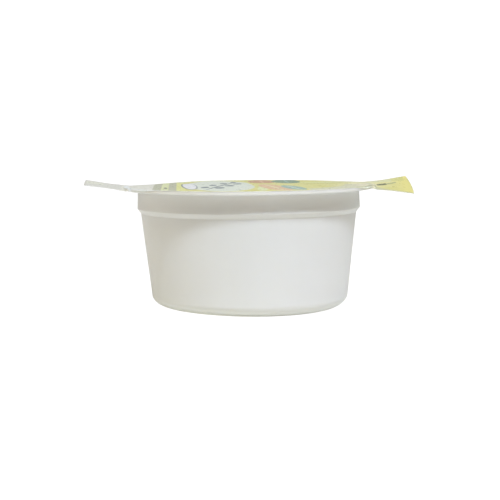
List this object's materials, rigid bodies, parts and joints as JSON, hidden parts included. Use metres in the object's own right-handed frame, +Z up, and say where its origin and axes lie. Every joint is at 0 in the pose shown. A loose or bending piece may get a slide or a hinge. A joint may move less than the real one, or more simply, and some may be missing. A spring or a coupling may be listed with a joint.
{
  "type": "sealed portion control cup",
  "caption": "Shallow round white plastic portion cup, filled and sealed, with a flanged rim, a stepped tapered wall and a peel-off film lid with pull tabs.",
  "frame": {"origin": "on the cup's axis, in the plane of its foot ring", "axes": "+Z up along the cup's axis, +X to the right and nearly along the lid's pull tabs, the side seen in the picture faces -Y"},
  "size_m": [0.1043, 0.078, 0.0401],
  "materials": {
    "white_plastic": "white moulded plastic, satin, slightly translucent",
    "printed_film": "thin lidding film, printed in yellow, white, green and orange above and plain silvery white below"
  },
  "bodies": {
    "root": {"cup": "white_plastic", "lid": "printed_film"}
  },
  "joints": []
}
